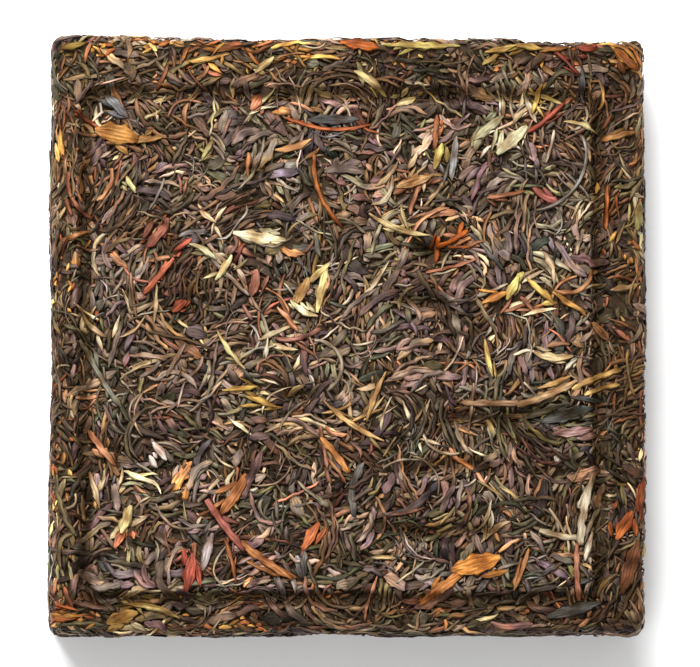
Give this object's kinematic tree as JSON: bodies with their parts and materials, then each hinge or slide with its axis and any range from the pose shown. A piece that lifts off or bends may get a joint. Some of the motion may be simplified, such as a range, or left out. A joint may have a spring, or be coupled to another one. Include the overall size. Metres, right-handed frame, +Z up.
{
  "type": "pressed tea brick",
  "caption": "Square flat brick of pressed dark tea leaf, with a frame line pressed round its face and soft hollows in the panel.",
  "frame": {"origin": "on the ground under the middle of the brick: the centre of the bottom of its box", "axes": "+Z up out of the pressed face, +X and +Y along the brick's sides"},
  "size_m": [0.1012, 0.1016, 0.02],
  "materials": {
    "tea_leaf": "dry pressed leaf: dark mauve-brown and olive strips with a satin lie, among tan and straw-gold buds and thin rust stems"
  },
  "bodies": {
    "root": {"brick": "tea_leaf"}
  },
  "joints": []
}
